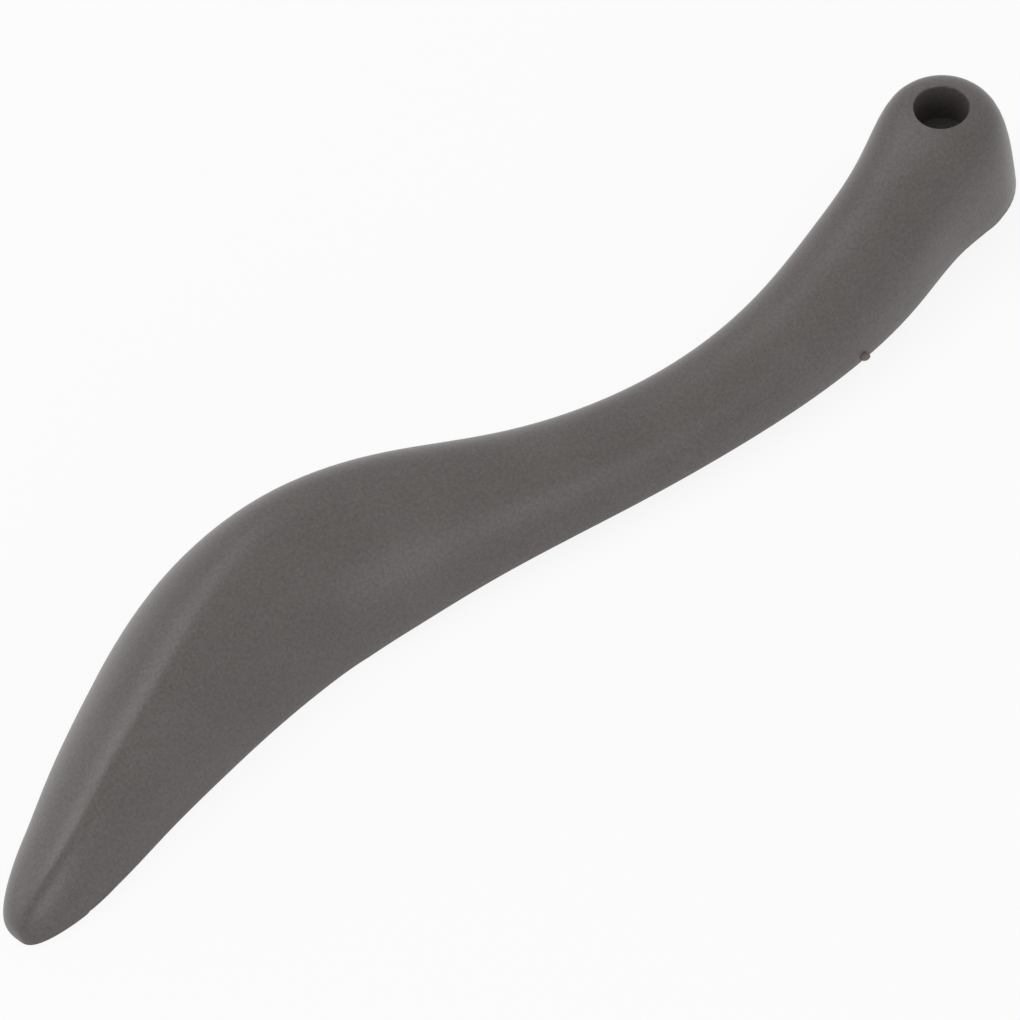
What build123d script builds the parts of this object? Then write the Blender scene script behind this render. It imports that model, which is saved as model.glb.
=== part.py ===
from build123d import *
from math import cos, radians, sin
import os

os.makedirs("parts", exist_ok=True)

# Hand lever that releases the backrest of a car seat: one moulding in grained plastic.
# Millimetres. The origin is on the shaft axis, in the plane of the hub's foot ring.
# +X runs from the hub to the end of the grip, +Z runs along the shaft, out of the seat.
# The crest is the line along the top of the lever. It swings sideways like a flat S.
# The broad flank looks to +Y and the steep flank looks to -Y.

# Hub around the shaft
hub_height = 21.7
hub_radius = 12.5
hub_draft = 5.0
hub_upright = 1.05
hub_crown = 0.57
ring_height = 1.6
ring_radius = 11.8
ring_root = 4.0

# Screw seat, sunk from the front
screw_head_bore = 9.0
screw_seat_z = 13.5
screw_shank_bore = 5.5
mouth_bevel = 0.7

# Socket for the shaft, open at the back, with two flats
socket_diameter = 12.0
socket_across_flats = 9.0
socket_depth = 10.5
pilot_diameter = 12.8
pilot_depth = 1.6

# Shell and ribs behind the arm
wall = 2.5
rib_thickness = 1.8
rib_foot_z = 2.5
hollow_start = 15.5
hollow_end = 194.0
hollow_runout = 1.0
rib_x = [31, 47, 63, 79, 95, 111, 127, 143, 159, 175]
split_from_x = 95

# Stub left where the moulding gate was twisted off
gate_x = 36.0
gate_above_rim = 1.0
gate_diameter = 1.6
gate_length = 0.8

# Crest line: distance from the hub, sideways swing and height
crest_x = [0, 10, 24, 42, 60, 78, 96, 112, 128, 144, 160, 174, 186]
crest_y = [0, 1.5, 4.6, 6.3, 4.7, 0.8, -6.2, -14.2, -18.9, -17.0, -11.8, -7.9, -4.3]
crest_z = [hub_height, 20.1, 17.5, 14.9, 13.2, 13.4, 15.8, 19.2, 21.6, 21.6, 18.8, 14.8, 11.0]

# Height of the back rim: clear of the ground along the neck, and below the grip
# a little under it, where the back is then cut flat
rim_z = [ring_height, 2.1, 2, 2, 2, 2, 1.6, 0.8, 0, -0.4, -0.5, -0.5, -0.5]

# Reach of the two flanks out from the crest
steep_w = [hub_radius, 10.7, 10.6, 9.7, 8.7, 9.4, 10.8, 12.5, 13.8, 16.6, 16.8, 14.3, 11.5]
broad_w = [hub_radius, 11.6, 10.8, 9.8, 9.2, 9.5, 12.1, 16.7, 18.0, 15.9, 11.1, 8.4, 6.3]

# Draft of the walls in degrees, how far up they stay upright, and how flat the crown is
draft = [hub_draft, 4, 4, 4.5, 6, 8, 10, 12, 14, 14, 14, 13, 12]
steep_up = [hub_upright, 0.95, 0.82, 0.75, 0.71, 0.69, 0.68, 0.68, 0.68, 0.68, 0.66, 0.63, 0.6]
broad_up = [hub_upright, 0.94, 0.84, 0.78, 0.74, 0.71, 0.68, 0.65, 0.62, 0.59, 0.56, 0.53, 0.5]
steep_top = [hub_crown, 0.46, 0.48, 0.46, 0.45, 0.45, 0.45, 0.45, 0.45, 0.45, 0.45, 0.43, 0.42]
broad_top = [hub_crown, 0.56, 0.58, 0.58, 0.58, 0.56, 0.53, 0.49, 0.45, 0.42, 0.39, 0.36, 0.34]

# Rounded nose of the grip, with how much it narrows and sinks on its way to the tip
tip_x = 201.0
tip_y = -1.8
nose_turns = [10, 20, 30, 40, 50, 60, 70, 78, 84, 88]
nose_narrowing = 0.27
nose_sinking = 0.35
nose_bluntness = 0.67
arm_steps = 31

last = len(crest_x) - 1
crest = Spline(*[(x, y) for x, y in zip(crest_x, crest_y)], (tip_x, tip_y))


def smooth_value(values, x):
    # One of the lists above, read smoothly between its stations and level where the hub begins
    i = min(max(k for k in range(last + 1) if crest_x[k] <= x), last - 1)
    step = crest_x[i + 1] - crest_x[i]
    after = min(i + 2, last)
    slope_in = (values[i + 1] - values[i - 1]) / (crest_x[i + 1] - crest_x[i - 1]) if i > 0 else 0
    slope_out = (values[after] - values[i]) / (crest_x[after] - crest_x[i])
    t = (x - crest_x[i]) / step
    start = values[i] * (1 + 2 * t) * (1 - t) ** 2 + step * slope_in * t * (1 - t) ** 2
    end = values[i + 1] * (3 - 2 * t) * t**2 - step * slope_out * (1 - t) * t**2
    return start + end


def across(x):
    # Upright plane square to the crest at distance x from the hub
    point = Vector(*crest.intersect(Plane(origin=(x, 0, 0), z_dir=(1, 0, 0)))[0])
    ahead = crest.tangent_at(crest.param_at_point(point))
    return Plane(origin=point, x_dir=(-ahead.Y, ahead.X, 0), z_dir=ahead)


def flank(width, base, height, lean, up, top):
    # Corner points of the curve from the back rim over the side wall to the crest
    rise = up * (height - base)
    wall_end = (width - rise * sin(radians(lean)), base + rise * cos(radians(lean)))
    return [(width, base), wall_end, (top * width, height), (0, height)]


def flank_widths(x):
    # Reach of the steep and the broad flank, closing in towards the tip
    way = max(0.0, (x - crest_x[last]) / (tip_x - crest_x[last]))
    slim = (1 - nose_narrowing * way) * (1 - way**2) ** (nose_bluntness / 2)
    at = min(x, crest_x[last])
    return smooth_value(steep_w, at) * slim, smooth_value(broad_w, at) * slim


def crest_height(x):
    # Height of the crest, sinking towards the tip
    way = max(0.0, (x - crest_x[last]) / (tip_x - crest_x[last]))
    low = (1 - nose_sinking * way) * (1 - way**2) ** (nose_bluntness / 2)
    return smooth_value(crest_z, min(x, crest_x[last])) * low


def draw_section(x, inset=0.0, drop=0.0):
    # Over the steep flank, down the broad flank and straight along the back.
    # Inset and drop give the smaller section of the hollow.
    at = min(x, crest_x[last])
    base = smooth_value(rim_z, at) - drop
    height = crest_height(x) - inset
    steep, broad = [w - inset for w in flank_widths(x)]
    lean = smooth_value(draft, at)
    left = flank(steep, base, height, lean, smooth_value(steep_up, at), smooth_value(steep_top, at))
    right = flank(broad, base, height, lean, smooth_value(broad_up, at), smooth_value(broad_top, at))
    Bezier(*[(-a, b) for a, b in left])
    Bezier(*reversed(right))
    Line((broad, base), (-steep, base))


def middle(x):
    # Point of the plan halfway between the two flanks
    steep, broad = flank_widths(x)
    return across(x).from_local_coords(((broad - steep) / 2, 0, 0))


# Places of the sections along the arm, closer together on the nose
arm_x = [crest_x[last] * i / arm_steps for i in range(arm_steps + 1)]
nose_x = [crest_x[last] + (tip_x - crest_x[last]) * sin(radians(turn)) for turn in nose_turns]
hollow_x = [x for x in arm_x if x > hollow_start] + [hollow_end]

# Outside of the arm, from the shaft axis to the nose
with BuildPart() as arm:
    for x in arm_x + nose_x:
        with BuildSketch(across(x)):
            with BuildLine():
                draw_section(x)
            make_face()
    loft()
    # Stub of the moulding gate on the broad flank, near the rim
    stub = across(gate_x)
    reach = flank_widths(gate_x)[1]
    stub_root = stub.from_local_coords((reach - wall, smooth_value(rim_z, gate_x) + gate_above_rim, 0))
    with BuildSketch(Plane(origin=stub_root, z_dir=stub.x_dir)):
        Circle(gate_diameter / 2)
    extrude(amount=wall + gate_length)

# Hollow of the arm, one wall thickness inside it and running out through the back
with BuildPart() as hollow:
    for x in [hollow_start] + hollow_x:
        with BuildSketch(across(x)):
            with BuildLine():
                draw_section(x, inset=wall, drop=hollow_runout)
            make_face()
    loft()

# Ribs: thin walls across the arm, and one along the middle of the grip
with BuildPart() as ribs:
    for x in rib_x:
        rib_reach = across(x).x_dir * max(steep_w + broad_w)
        with BuildSketch(Plane.XY.offset(rib_foot_z)):
            with BuildLine():
                Line(middle(x) - rib_reach, middle(x) + rib_reach)
            trace(line_width=rib_thickness)
    with BuildSketch(Plane.XY.offset(rib_foot_z)):
        with BuildLine():
            Polyline(*[middle(x) for x in rib_x if x >= split_from_x], middle(hollow_end + rib_thickness))
        trace(line_width=rib_thickness)
    extrude(amount=hub_height)

# What is left of the hollow between the ribs
with BuildPart() as pockets:
    add(hollow.part)
    add(ribs.part, mode=Mode.SUBTRACT)

with BuildPart() as lever:
    add(arm.part)
    # Round end of the hub behind the shaft axis
    with BuildSketch(across(0)):
        with BuildLine():
            Bezier(*flank(hub_radius, ring_height, hub_height, hub_draft, hub_upright, hub_crown))
            Polyline((0, hub_height), (0, ring_height), (hub_radius, ring_height))
        make_face()
    revolve(axis=Axis.Z, revolution_arc=180)
    # Foot ring of the hub, a little smaller than the wall above it
    with BuildSketch():
        Circle(ring_radius)
    extrude(amount=ring_root)
    # Pockets between the ribs
    add(pockets.part, mode=Mode.SUBTRACT)
    # Back cut flat where the grip rests
    split(bisect_by=Plane.XY, keep=Keep.TOP)
    # Seat for the screw head with its bevelled mouth, and hole for the shank
    seat_radius = screw_head_bore / 2
    seat_edge = (seat_radius, screw_seat_z)
    wall_top = (seat_radius, hub_height - mouth_bevel)
    past_mouth = (seat_radius + 2 * mouth_bevel, hub_height + mouth_bevel)
    above_axis = (0, hub_height + mouth_bevel)
    with BuildSketch(Plane.XZ):
        Polygon((0, screw_seat_z), seat_edge, wall_top, past_mouth, above_axis, align=None)
    revolve(axis=Axis.Z, mode=Mode.SUBTRACT)
    with BuildSketch():
        Circle(screw_shank_bore / 2)
    extrude(amount=hub_height, mode=Mode.SUBTRACT)
    # Socket for the shaft with its two flats, and the round lead-in at its mouth
    with BuildSketch() as socket:
        Circle(socket_diameter / 2)
        Rectangle(socket_diameter, socket_across_flats, mode=Mode.INTERSECT)
    extrude(amount=socket_depth, mode=Mode.SUBTRACT)
    with BuildSketch():
        Circle(pilot_diameter / 2)
    extrude(amount=pilot_depth, mode=Mode.SUBTRACT)

lever.part.label = "recliner_lever"
export_step(lever.part, "parts/recliner_lever.step")
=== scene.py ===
# %% [markdown]
# # Car seat recliner lever
# A hand lever for the side of a car seat: a round hub that is screwed to the recliner
# shaft, a slim neck, and a broad grip that ends in a rounded nose. The real one is a
# single moulding in dark grained polypropylene, hollow and ribbed behind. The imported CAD
# model is the frame: this lesson dresses it, with every measure in the same place.

# %% Load the frame
import bmesh
import bpy
from math import cos, pi, radians, sin
from mathutils import Matrix, Vector
from mathutils.geometry import interpolate_bezier


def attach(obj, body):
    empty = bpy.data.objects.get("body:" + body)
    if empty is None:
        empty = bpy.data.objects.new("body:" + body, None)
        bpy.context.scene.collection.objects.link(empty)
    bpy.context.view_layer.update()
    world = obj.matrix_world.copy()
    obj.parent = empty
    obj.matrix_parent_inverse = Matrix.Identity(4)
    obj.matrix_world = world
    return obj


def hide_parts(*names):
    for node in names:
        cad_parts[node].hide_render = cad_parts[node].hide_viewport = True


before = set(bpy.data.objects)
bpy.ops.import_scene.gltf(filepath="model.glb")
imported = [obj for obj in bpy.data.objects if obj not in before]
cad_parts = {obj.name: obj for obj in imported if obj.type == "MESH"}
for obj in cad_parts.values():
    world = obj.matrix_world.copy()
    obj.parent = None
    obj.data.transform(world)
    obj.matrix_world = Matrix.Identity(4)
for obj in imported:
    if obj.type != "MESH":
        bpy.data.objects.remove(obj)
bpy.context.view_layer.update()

# %% [markdown]
# ## Camera
# The photograph looks down on the front of the lever from beyond its hub, with a long
# lens and the camera rolled a little. The place below was solved from the outline of the
# real lever, in the frame of the CAD model.

# %% Camera
MM = 0.001
eye = Vector((335.867, 312.733, 559.027)) * MM
aim = Vector((99.185, 0.288, 10.0)) * MM
roll = radians(-7.883)
camera_data = bpy.data.cameras.new("camera")
camera_data.sensor_width = 36
camera_data.lens = 151.145
camera_data.clip_start = 0.01
camera = bpy.data.objects.new("camera", camera_data)
bpy.context.scene.collection.objects.link(camera)
look = (aim - eye).to_track_quat("-Z", "Y").to_matrix().to_4x4()
camera.matrix_world = Matrix.Translation(eye) @ look @ Matrix.Rotation(roll, 4, "Z")
bpy.context.scene.camera = camera
print("distance to the lever in mm:", round((aim - eye).length / MM, 1))

# %% [markdown]
# ## The lines of the lever
# The moulding is one sweep: cross-sections stand square on a crest line that swings
# sideways like a flat S. At thirteen stations along the lever the designer sets where the
# crest runs, how high it is, how far each flank reaches and how steep it stands. Between
# the stations each value is read from a spline whose bending has no jumps, because a
# glossy highlight shows every jump as a kink.

# %% Stations along the crest, in millimetres
crest_x = [0, 10, 24, 42, 60, 78, 96, 112, 128, 144, 160, 174, 186]
crest_z = [21.7, 20.1, 17.5, 14.9, 13.2, 13.4, 15.8, 19.2, 21.6, 21.6, 18.8, 14.8, 11.0]
rim_z = [1.6, 2.1, 2, 2, 2, 2, 1.6, 0.8, 0, -0.4, -0.5, -0.5, -0.5]
steep_w = [12.5, 10.7, 10.6, 9.7, 8.7, 9.4, 10.8, 12.5, 13.8, 16.6, 16.8, 14.3, 11.5]
broad_w = [12.5, 11.6, 10.8, 9.8, 9.2, 9.5, 12.1, 16.7, 18.0, 15.9, 11.1, 8.4, 6.3]
print("stations:", len(crest_x))

# %% Plan of the crest, with the tip of the nose as its last point
tip_x = 201.0
plan_x = crest_x + [tip_x]
plan_y = [0, 1.5, 4.6, 6.3, 4.7, 0.8, -6.2, -14.2, -18.9, -17.0, -11.8, -7.9, -4.3, -1.8]
print("sideways swing in mm:", max(plan_y) - min(plan_y))

# %% Shape of the flanks: draft in degrees, then shares of the height and of the width
steep_draft = [5, 4, 4, 4.5, 6, 8, 10, 12, 14, 14, 14, 13, 12]
broad_draft = [5, 4, 4, 4, 5, 6, 7, 7, 7, 7, 8, 9, 10]
steep_up = [1.0, 0.92, 0.82, 0.75, 0.71, 0.69, 0.68, 0.68, 0.68, 0.68, 0.66, 0.63, 0.6]
broad_up = [1.0, 0.92, 0.84, 0.77, 0.72, 0.68, 0.63, 0.58, 0.54, 0.52, 0.51, 0.5, 0.48]
steep_top = [0.7, 0.54, 0.48, 0.46, 0.45, 0.45, 0.45, 0.45, 0.45, 0.45, 0.45, 0.43, 0.42]
broad_top = [0.7, 0.64, 0.58, 0.58, 0.58, 0.56, 0.53, 0.49, 0.45, 0.42, 0.39, 0.36, 0.34]
print("steepest wall in degrees of draft:", min(steep_draft + broad_draft))

# %% Spline through the stations
balancing_rounds = 80

def bends(xs, values, level_start):
    # Second derivative at each station, found by repeated balancing
    bend = [0.0] * len(xs)
    for _ in range(balancing_rounds):
        if level_start:
            run = xs[1] - xs[0]
            bend[0] = 3 * (values[1] - values[0]) / run**2 - bend[1] / 2
        for i in range(1, len(xs) - 1):
            back = xs[i] - xs[i - 1]
            on = xs[i + 1] - xs[i]
            turn = (values[i + 1] - values[i]) / on - (values[i] - values[i - 1]) / back
            bend[i] = (6 * turn - back * bend[i - 1] - on * bend[i + 1]) / (2 * (back + on))
    return bend

def spline(xs, values, level_start=True):
    # Returns a function that reads the list of values at any distance from the hub
    bend = bends(xs, values, level_start)
    def read(x):
        x = min(max(x, xs[0]), xs[-1])
        i = max(k for k in range(len(xs) - 1) if xs[k] <= x)
        run = xs[i + 1] - xs[i]
        a = (xs[i + 1] - x) / run
        b = 1 - a
        curve = (a**3 - a) * bend[i] + (b**3 - b) * bend[i + 1]
        return a * values[i] + b * values[i + 1] + curve * run**2 / 6
    return read

# %% One spline for each list
crest_y = spline(plan_x, plan_y, level_start=False)
crest_height = spline(crest_x, crest_z)
rim_height = spline(crest_x, rim_z)
steep_reach = spline(crest_x, steep_w)
broad_reach = spline(crest_x, broad_w)
steep_shape = [spline(crest_x, values) for values in (steep_draft, steep_up, steep_top)]
broad_shape = [spline(crest_x, values) for values in (broad_draft, broad_up, broad_top)]
print("crest height halfway along the grip:", round(crest_height(136), 2))

# %% Direction of the crest and the direction across it
small_step = 0.01

def heading(x):
    # Direction of the crest in the plan
    swing = crest_y(x + small_step) - crest_y(x - small_step)
    return Vector((2 * small_step, swing, 0)).normalized()

def cross(x):
    # Point on the crest's plan and the direction across it, towards the broad flank
    ahead = heading(min(max(x, small_step), tip_x - small_step))
    return Vector((x, crest_y(x), 0)), Vector((-ahead.y, ahead.x, 0))

# %% [markdown]
# ## One cross-section
# Each section is two Bezier curves that meet on the crest: a side wall that leans in by
# its draft, so that the steel tool could let go of it, rolling over into the crown.
# Towards the tip the section narrows and sinks along a blunt ellipse.

# %% Cross-section
nose_narrowing = 0.27
nose_sinking = 0.35
nose_bluntness = 0.335
flank_points = 18
back_steps = 6

def nose(x, loss):
    # Share of the width or height that is left on the way to the tip
    way = max(0.0, (x - crest_x[-1]) / (tip_x - crest_x[-1]))
    return (1 - loss * way) * max(0.0, 1 - way**2) ** nose_bluntness

def flank(width, base, height, shape, x, points):
    # From the back rim up the wall and over to the crest
    lean, upright, crowned = [read(x) for read in shape]
    lean = radians(lean)
    rise = upright * (height - base)
    rim = Vector((width, base))
    wall_end = Vector((width - rise * sin(lean), base + rise * cos(lean)))
    crown = Vector((crowned * width, height))
    return interpolate_bezier(rim, wall_end, crown, Vector((0, height)), points)

def section(x, inset=0.0, drop=0.0, points=flank_points, back=back_steps):
    # Closed ring of points: steep flank, broad flank, then straight along the back.
    # Inset and drop give the smaller section of the hollow.
    base = rim_height(x) - drop
    height = crest_height(x) * nose(x, nose_sinking) - inset
    steep = steep_reach(x) * nose(x, nose_narrowing) - inset
    broad = broad_reach(x) * nose(x, nose_narrowing) - inset
    left = flank(steep, base, height, steep_shape, x, points)
    right = flank(broad, base, height, broad_shape, x, points)
    ring = [Vector((-p.x, p.y)) for p in left] + list(reversed(right))[1:]
    ring += [Vector((broad - (broad + steep) * i / back, base)) for i in range(1, back)]
    at, aside = cross(x)
    return [(at + aside * p.x + Vector((0, 0, p.y))) * MM for p in ring]

print("points in one section:", len(section(100)))

# %% [markdown]
# ## Sweeping the shell
# The first section is a ring of edges. It is extruded again and again, and each new ring
# is moved to the next section, as in a loft. The end of the nose is gathered to a point.

# %% Sweep helpers
def next_ring(mesh, ring, places):
    # Extrudes a ring of vertices and moves the copy to its new places
    edges = [mesh.edges.get((a, b)) for a, b in zip(ring, ring[1:] + ring[:1])]
    grown = bmesh.ops.extrude_edge_only(mesh, edges=edges)["geom"]
    fresh = {item for item in grown if isinstance(item, bmesh.types.BMVert)}
    ahead = [next(e.other_vert(v) for e in v.link_edges if e.other_vert(v) in fresh) for v in ring]
    for vertex, place in zip(ahead, places):
        vertex.co = place
    return ahead

def sweep(mesh, stops):
    # Joins the rings of places at all stops and returns the rings of vertices
    ring = [mesh.verts.new(place) for place in stops[0]]
    for a, b in zip(ring, ring[1:] + ring[:1]):
        mesh.edges.new((a, b))
    rings = [ring]
    for places in stops[1:]:
        rings.append(next_ring(mesh, rings[-1], places))
    return rings

# %% Outside of the arm, with stops closer together on the nose
tip_depth = 0.2
arm_x = [2.0 * i for i in range(94)]
nose_turns = list(range(6, 82, 4)) + [82, 84.5, 86.5, 88, 89.6]
nose_x = [crest_x[-1] + (tip_x - crest_x[-1]) * sin(radians(turn)) for turn in nose_turns]
shell = bmesh.new()
rings = sweep(shell, [section(x) for x in arm_x + nose_x])
tip = (cross(tip_x)[0] + Vector((0, 0, -tip_depth))) * MM
bmesh.ops.pointmerge(shell, verts=rings[-1], merge_co=tip)
print("arm faces:", len(shell.faces))

# %% Round end of the hub: half of the first section, turned about the shaft axis
merge_gap = 0.002
crest_point = flank_points - 1
axis_point = 2 * crest_point + back_steps // 2
profile = [shell.verts.new(place) for place in section(0)[crest_point : axis_point + 1]]
lines = [shell.edges.new(pair) for pair in zip(profile, profile[1:])]
bmesh.ops.spin(shell, geom=profile + lines, axis=(0, 0, 1), cent=(0, 0, 0), angle=pi, steps=28)
bmesh.ops.remove_doubles(shell, verts=shell.verts, dist=merge_gap * MM)
print("with the hub:", len(shell.faces), "open edges:", sum(e.is_boundary for e in shell.edges))

# %% Flat back where the grip rests
cut_gap = 0.03
ground = {"plane_co": (0, 0, 0), "plane_no": (0, 0, 1)}
everything = shell.verts[:] + shell.edges[:] + shell.faces[:]
bmesh.ops.bisect_plane(shell, geom=everything, clear_inner=True, **ground)
bmesh.ops.remove_doubles(shell, verts=shell.verts, dist=cut_gap * MM)
bmesh.ops.edgeloop_fill(shell, edges=[e for e in shell.edges if e.is_boundary])
bmesh.ops.recalc_face_normals(shell, faces=shell.faces)
print("faces with the flat back:", len(shell.faces))

# %% Soft rim round the back, up to where the nose begins to close
rim_round = 0.25
rim_end = 190
below = {e for f in shell.faces if f.normal.z < -0.9 for e in f.edges}
corners = [e for e in shell.edges if e in below and e.calc_face_angle(0) > radians(55)]
rim = [e for e in corners if max(v.co.x for v in e.verts) < rim_end * MM]
bmesh.ops.bevel(
    shell, geom=rim, affect="EDGES", offset=rim_round * MM, segments=2, profile=0.5, material=-1
)
print("rim edges rounded:", len(rim), "open edges:", sum(not e.is_manifold for e in shell.edges))

# %% [markdown]
# ## Bores and hollow
# The tool forms the screw seat, the shaft socket and the pockets behind the arm with
# cores, so here too each one is a body of its own that is subtracted. The ribs are what
# is left standing between the pockets: they are taken out of the hollow's body first.

# %% Cutting helpers
def finished(mesh, name):
    # Turns a bmesh into an object of the scene
    bmesh.ops.recalc_face_normals(mesh, faces=mesh.faces)
    data = bpy.data.meshes.new(name)
    mesh.to_mesh(data)
    mesh.free()
    piece = bpy.data.objects.new(name, data)
    bpy.context.scene.collection.objects.link(piece)
    return piece

def combine(piece, tool, operation):
    # Applies one exact boolean and removes the tool
    step = piece.modifiers.new("step", "BOOLEAN")
    step.operation = operation
    step.solver = "EXACT"
    step.use_self = operation != "UNION"
    step.object = tool
    evaluated = piece.evaluated_get(bpy.context.evaluated_depsgraph_get())
    result = bpy.data.meshes.new_from_object(evaluated)
    piece.modifiers.clear()
    piece.data = result
    bpy.data.objects.remove(tool)
    print(piece.name, operation.lower(), len(result.polygons), "faces")

lever = finished(shell, "lever_skin")

# %% Helpers for bodies on the shaft axis
def round_bar(radius, bottom, top):
    # Upright cylinder on the shaft axis
    bar = bmesh.new()
    place = Matrix.Translation((0, 0, (bottom + top) / 2 * MM))
    size = {"radius1": radius * MM, "radius2": radius * MM, "depth": (top - bottom) * MM}
    bmesh.ops.create_cone(bar, cap_ends=True, segments=96, matrix=place, **size)
    return bar

def turned(profile, steps):
    # Body whose radii and heights are given, spun a full turn
    body = bmesh.new()
    points = [body.verts.new((r * MM, 0, h * MM)) for r, h in profile]
    geometry = points + [body.edges.new(pair) for pair in zip(points, points[1:])]
    turn = {"axis": (0, 0, 1), "cent": (0, 0, 0), "angle": 2 * pi}
    bmesh.ops.spin(body, geom=geometry, steps=steps, use_merge=True, **turn)
    bmesh.ops.remove_doubles(body, verts=body.verts, dist=merge_gap * MM)
    return body

# %% Foot ring of the hub, a little smaller than the wall above it
ring_radius = 11.8
ring_root = 4
ring_round = 0.2
ring = round_bar(ring_radius, 0, ring_root)
foot = [e for e in ring.edges if max(v.co.z for v in e.verts) < 0.1 * MM]
bmesh.ops.bevel(
    ring, geom=foot, affect="EDGES", offset=ring_round * MM, segments=2, profile=0.5, material=-1
)
combine(lever, finished(ring, "foot_ring"), "UNION")

# %% Core of the hollow, one wall inside the arm and running out through the back
wall = 2.5
runout = 1.0
hollow_start = 15.5
hollow_end = 194.0
hollow_x = [hollow_start] + [x for x in arm_x if x > hollow_start + 1] + [190.0, hollow_end]
hollow = bmesh.new()
inside = [section(x, inset=wall, drop=runout, points=12, back=4) for x in hollow_x]
rings = sweep(hollow, inside)
for end in (rings[0], rings[-1]):
    hollow.faces.new(end)
core = finished(hollow, "core")
print("core of the hollow:", len(core.data.polygons), "faces")

# %% Ribs across the arm
rib_half = 0.9
rib_foot = 2.5
rib_height = 24
rib_span = 44
rib_x = [31, 47, 63, 79, 95, 111, 127, 143, 159, 175]

def middle(x):
    # Halfway between the two flanks
    at, aside = cross(x)
    shift = (broad_reach(x) - steep_reach(x)) * nose(x, nose_narrowing) / 2
    return at + aside * shift

ribs = bmesh.new()
for x in rib_x:
    turn = Matrix.Rotation(heading(x).to_2d().angle_signed(Vector((1, 0))), 4, "Z")
    spot = Matrix.Translation((middle(x) + Vector((0, 0, rib_foot + rib_height / 2))) * MM)
    size = Matrix.Diagonal((2 * rib_half * MM, rib_span * MM, rib_height * MM, 1))
    bmesh.ops.create_cube(ribs, size=1, matrix=spot @ turn @ size)
print("cross ribs:", len(rib_x))

# %% One rib along the middle of the grip
long_rib_start = 95

def rib_ring(x):
    # Corners of the long rib's section
    at, aside = middle(x), cross(x)[1]
    foot, head = rib_foot, rib_foot + rib_height
    corners = ((-rib_half, foot), (rib_half, foot), (rib_half, head), (-rib_half, head))
    return [(at + aside * a + Vector((0, 0, b))) * MM for a, b in corners]

long_rib_x = [x for x in rib_x if x >= long_rib_start] + [hollow_end + 2 * rib_half]
rings = sweep(ribs, [rib_ring(x) for x in long_rib_x])
for end in (rings[0], rings[-1]):
    ribs.faces.new(end)
combine(core, finished(ribs, "ribs"), "DIFFERENCE")
combine(lever, core, "DIFFERENCE")

# %% Core of the screw seat and shank hole, with a rounded mouth
hub_height = crest_z[0]
seat_radius = 4.5
seat_floor = 13.5
shank_radius = 2.75
mouth_round = 0.7
mouth_handle = 0.3
core_head = 24
# Cores reach this far out of the face that they open
beyond = 1
mouth = interpolate_bezier(
    (seat_radius, hub_height - mouth_round),
    (seat_radius, hub_height - mouth_handle),
    (seat_radius + mouth_handle, hub_height),
    (seat_radius + mouth_round, hub_height),
    7,
)
shank = [(0, -beyond), (shank_radius, -beyond), (shank_radius, seat_floor)]
above = [(seat_radius + mouth_round, core_head), (0, core_head)]
outline = shank + [(seat_radius, seat_floor)] + [(p.x, p.y) for p in mouth] + above
combine(lever, finished(turned(outline, steps=96), "seat_core"), "DIFFERENCE")

# %% Core of the shaft socket with two flats
socket_radius = 6
socket_flat = 4.5
socket_depth = 10.5
socket = round_bar(socket_radius, -beyond, socket_depth)
for side in (1, -1):
    everything = socket.verts[:] + socket.edges[:] + socket.faces[:]
    cut = {"plane_co": (0, side * socket_flat * MM, 0), "plane_no": (0, side, 0)}
    parted = bmesh.ops.bisect_plane(socket, geom=everything, clear_outer=True, **cut)
    edges = [e for e in parted["geom_cut"] if isinstance(e, bmesh.types.BMEdge)]
    bmesh.ops.edgeloop_fill(socket, edges=edges)
combine(lever, finished(socket, "socket_core"), "DIFFERENCE")

# %% Core of the round lead-in at the socket's mouth
pilot_radius = 6.4
pilot_depth = 1.6
pilot = round_bar(pilot_radius, -beyond, pilot_depth)
combine(lever, finished(pilot, "pilot_core"), "DIFFERENCE")

# %% [markdown]
# ## Cleaning and shading
# Exact booleans leave slivers where two faces nearly met. They are thinner than a hair,
# but they would show as dark specks in the shading, so they are merged. Then the skin is
# shaded smooth, with sharp edges only where two surfaces meet at an angle. The finished
# skin takes the place of the plain CAD lever.

# %% Merge the slivers that the booleans left
sliver = 0.01
clean = bmesh.new()
clean.from_mesh(lever.data)
bmesh.ops.remove_doubles(clean, verts=clean.verts, dist=sliver * MM)
bmesh.ops.dissolve_degenerate(clean, dist=sliver * MM, edges=clean.edges)
print("open or shared edges left:", sum(not e.is_manifold for e in clean.edges))
clean.to_mesh(lever.data)
clean.free()

# %% Smooth shading, and the place in the frame
def shade_smooth(piece, sharp_from):
    # Smooth faces, with sharp edges from an angle in degrees
    piece.data.polygons.foreach_set("use_smooth", [True] * len(piece.data.polygons))
    piece.data.set_sharp_from_angle(angle=radians(sharp_from))

shade_smooth(lever, 38)
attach(lever, "root")
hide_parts("recliner_lever")
print("lever faces:", len(lever.data.polygons))

# %% [markdown]
# ## Stub of the moulding gate
# Low on the broad flank a pin of plastic was twisted off after moulding. It tore, so its
# end slants and the stretched plastic turned a little paler. It is a turned pin with a
# rounded end, pushed into the wall from outside.

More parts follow.
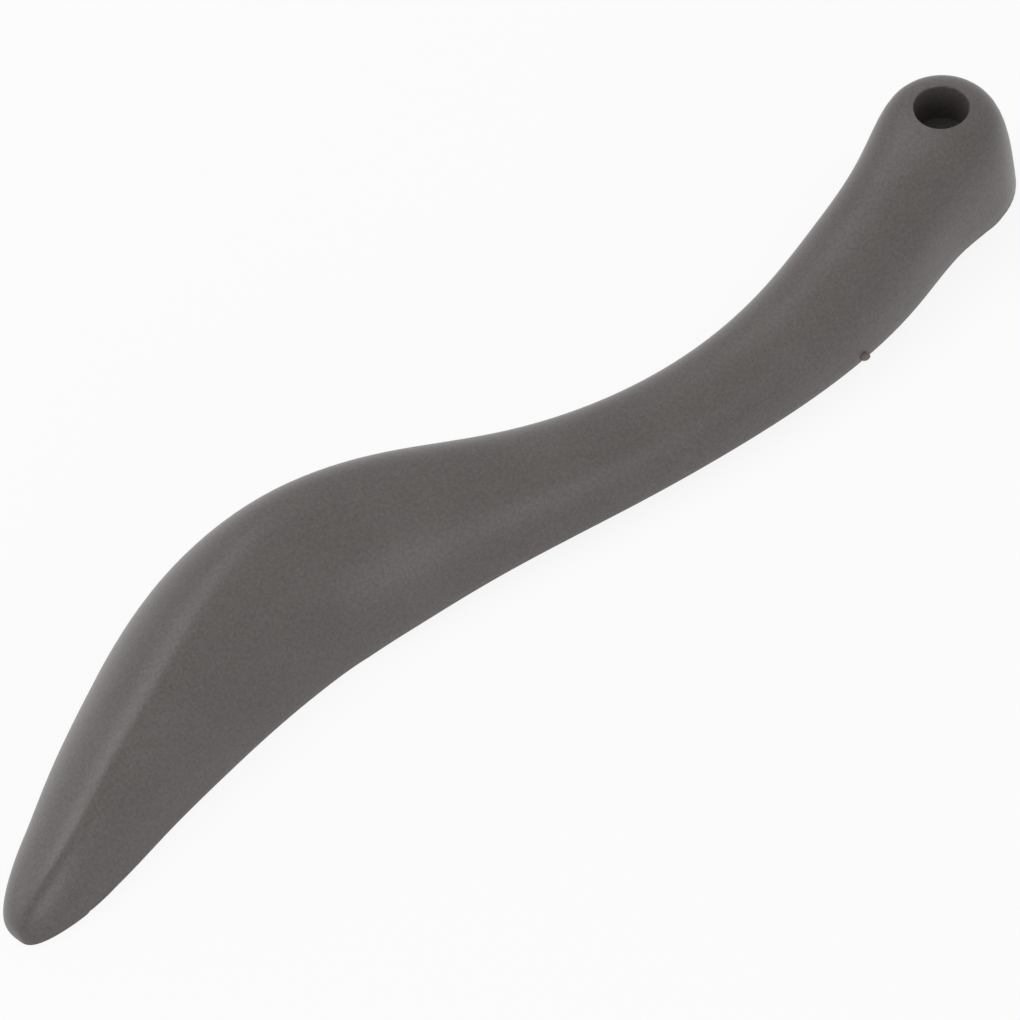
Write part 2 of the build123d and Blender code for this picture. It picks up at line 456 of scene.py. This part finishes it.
# %% Gate stub
gate_x = 36.0
gate_z = 2.8
gate_root = 1.0
gate_profile = [(0, 0), (0.8, 0), (0.78, 1.2), (0.62, 1.5), (0.36, 1.66), (0, 1.7)]
end_from = 1.3
end_slope = 0.3
at, aside = cross(gate_x)
root = at + aside * (broad_reach(gate_x) - gate_root) + Vector((0, 0, gate_z))
stub = turned(gate_profile, steps=20)
for vertex in stub.verts:
    if vertex.co.z > end_from * MM:
        vertex.co.z += end_slope * vertex.co.x
outwards = aside.to_track_quat("Z", "Y").to_matrix().to_4x4()
bmesh.ops.transform(stub, matrix=Matrix.Translation(root * MM) @ outwards, verts=stub.verts)
gate = finished(stub, "gate_stub")
shade_smooth(gate, 60)
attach(gate, "root")
print("gate stub stands out in mm:", round(gate_profile[-1][1] - gate_root, 2))

# %% [markdown]
# ## Grained polypropylene
# Dark, warm grey polypropylene, moulded against an etched steel tool. The etching leaves a
# fine leather-like grain of rounded islands about 0.6 mm across, so the surface is matt,
# and brightens only where it is seen at a flat angle.

# %% Helpers for colours and nodes
def linear(code):
    # sRGB hex colour to linear values
    parts = [int(code[i : i + 2], 16) / 255 for i in (1, 3, 5)]
    return [c / 12.92 if c <= 0.04045 else ((c + 0.055) / 1.055) ** 2.4 for c in parts] + [1.0]

def fresh_tree(owner):
    # Empty node tree of a material or a world
    owner.use_nodes = True
    owner.node_tree.nodes.clear()
    return owner.node_tree

def add(tree, kind, links=(), **settings):
    # Adds one node. Settings name its properties or sockets; links feed its sockets.
    node = tree.nodes.new(kind)
    for name, value in settings.items():
        label = name.replace("_", " ")
        if hasattr(node, name):
            setattr(node, name, value)
        else:
            node.inputs[label].default_value = value
    for socket, source in links:
        tree.links.new(source, node.inputs[socket])
    return node

# %% Material: grained polypropylene, its patterns with their sizes in millimetres
grain_mm = 0.6
speckle_mm = 0.35
cloud_mm = 14
mottle_mm = 0.5
plastic = bpy.data.materials.new("grained_polypropylene")
tree = fresh_tree(plastic)
place = add(tree, "ShaderNodeTexCoord").outputs["Object"]
islands = add(
    tree, "ShaderNodeTexVoronoi", [("Vector", place)], feature="SMOOTH_F1", Scale=1 / (grain_mm * MM)
).outputs["Distance"]
speckle, cloud, mottle = [
    add(tree, "ShaderNodeTexNoise", [("Vector", place)], Scale=1 / (size * MM), Detail=detail).outputs["Fac"]
    for size, detail in ((speckle_mm, 3.0), (cloud_mm, 2.0), (mottle_mm, 1.0))
]
print("grain islands per square centimetre:", round((10 / grain_mm) ** 2))

# %% Colour: a faint mottle with slow clouds
blend = add(tree, "ShaderNodeMix", [("A", cloud), ("B", mottle)], Factor=0.7)
tone = add(tree, "ShaderNodeValToRGB", [("Fac", blend.outputs[0])])
dark, light = tone.color_ramp.elements
dark.position, dark.color = 0.3, linear("#504B49")
light.position, light.color = 0.7, linear("#625D5B")

# %% Gloss and grain: speckled roughness, and islands with a fine speckle on them
sheen = add(tree, "ShaderNodeMapRange", [("Value", speckle)], To_Min=0.3, To_Max=0.42)
coarse = add(
    tree, "ShaderNodeBump", [("Height", islands)], invert=True, Strength=0.5, Distance=0.05 * MM
)
fine = add(
    tree,
    "ShaderNodeBump",
    [("Height", speckle), ("Normal", coarse.outputs["Normal"])],
    Strength=0.5,
    Distance=0.04 * MM,
)
feeds = [
    ("Base Color", tone.outputs["Color"]),
    ("Roughness", sheen.outputs["Result"]),
    ("Normal", fine.outputs["Normal"]),
]
surface = add(tree, "ShaderNodeBsdfPrincipled", feeds, IOR=1.49)
add(tree, "ShaderNodeOutputMaterial", [("Surface", surface.outputs["BSDF"])])
lever.data.materials.clear()
lever.data.materials.append(plastic)
print("nodes in the plastic:", len(tree.nodes))

# %% [markdown]
# ## Torn polypropylene
# The same plastic where it was twisted off: stretched fibres that scatter the light, so it
# is paler, rougher and without gloss.

# %% Material: torn polypropylene
fibre_mm = 0.3
torn = bpy.data.materials.new("torn_polypropylene")
tree = fresh_tree(torn)
place = add(tree, "ShaderNodeTexCoord").outputs["Object"]
fibres = add(
    tree, "ShaderNodeTexNoise", [("Vector", place)], Scale=1 / (fibre_mm * MM), Detail=4.0
).outputs["Fac"]
pale = add(tree, "ShaderNodeValToRGB", [("Fac", fibres)])
dark, light = pale.color_ramp.elements
dark.color = linear("#57524F")
light.color = linear("#8A7D76")
rough = add(tree, "ShaderNodeBump", [("Height", fibres)], Strength=0.6, Distance=0.1 * MM)
feeds = [("Base Color", pale.outputs["Color"]), ("Normal", rough.outputs["Normal"])]
surface = add(tree, "ShaderNodeBsdfPrincipled", feeds, Roughness=0.75, IOR=1.49)
add(tree, "ShaderNodeOutputMaterial", [("Surface", surface.outputs["BSDF"])])
gate.data.materials.append(torn)
print("nodes in the torn plastic:", len(tree.nodes))

# %% [markdown]
# ## Studio
# The photograph has a pure white ground and broad, soft light. A weak white world lights
# the lever from all sides, as a light tent does, and four large soft boxes shape it: one
# before the broad flank, one beyond the nose, and two above the steep flank that put the
# long highlight on the crest. Most of the ground's white is a glow that only rays that
# look at it can see, so it lights the lever no more than paper does. The paper under the
# glow keeps the soft shadow.

# %% World
def looking_rays(tree):
    # 1 for rays that look at a surface: from the camera, in a mirror or through glass
    rays = add(tree, "ShaderNodeLightPath")
    looks = rays.outputs["Is Camera Ray"]
    for kind in ("Is Glossy Ray", "Is Transmission Ray"):
        pair = [(0, looks), (1, rays.outputs[kind])]
        looks = add(tree, "ShaderNodeMath", pair, operation="MAXIMUM").outputs[0]
    return looks

world = bpy.data.worlds.new("light_tent")
bpy.context.scene.world = world
tree = fresh_tree(world)
tent = add(tree, "ShaderNodeBackground", Color=linear("#FFFFFF"), Strength=0.58)
white = add(tree, "ShaderNodeBackground", Color=linear("#FFFFFF"), Strength=1.0)
sides = [(0, looking_rays(tree)), (1, tent.outputs[0]), (2, white.outputs[0])]
both = add(tree, "ShaderNodeMixShader", sides)
add(tree, "ShaderNodeOutputWorld", [("Surface", both.outputs[0])])
print("nodes in the world:", len(tree.nodes))

# %% Floor of white paper
glow_share = 0.88
floor_size = 1.5
floor_place = Matrix.Translation((0.1, 0, -0.0001))
paper = bpy.data.materials.new("white_paper")
tree = fresh_tree(paper)
matt = add(tree, "ShaderNodeBsdfDiffuse", Color=linear("#F7F7F7"))
glow = add(tree, "ShaderNodeEmission", Color=linear("#FFFFFF"), Strength=1.0)
share = add(tree, "ShaderNodeMath", [(0, looking_rays(tree))], operation="MULTIPLY")
share.inputs[1].default_value = glow_share
sides = [(0, share.outputs[0]), (1, matt.outputs[0]), (2, glow.outputs[0])]
both = add(tree, "ShaderNodeMixShader", sides)
add(tree, "ShaderNodeOutputMaterial", [("Surface", both.outputs[0])])
sheet = bmesh.new()
bmesh.ops.create_grid(sheet, x_segments=1, y_segments=1, size=floor_size, matrix=floor_place)
floor = finished(sheet, "floor")
floor.data.materials.append(paper)
print("floor in metres:", 2 * floor_size)

# %% Soft boxes, all turned to the middle of the lever
lever_middle = Vector((0.1, 0, 0.01))

def softbox(name, where, size, power):
    # Square lamp: its place and size in metres, its power in watts
    data = bpy.data.lights.new(name, "AREA")
    data.shape = "SQUARE"
    data.size = size
    data.energy = power
    box = bpy.data.objects.new(name, data)
    bpy.context.scene.collection.objects.link(box)
    where = Vector(where)
    turn = (lever_middle - where).to_track_quat("-Z", "Y").to_matrix().to_4x4()
    box.matrix_world = Matrix.Translation(where) @ turn
    print(name, "soft box in watts:", power)

softbox("front", (0.36, 0.84, 0.2), 0.45, 1.4)
softbox("side", (0.69, -0.64, 0.24), 0.6, 0.8)
softbox("crest", (0.49, -0.42, 0.7), 0.4, 1.3)
softbox("back", (0.05, -0.42, 0.8), 0.4, 0.7)

# %% Colours are shown as they are written
bpy.context.scene.view_settings.view_transform = "Standard"
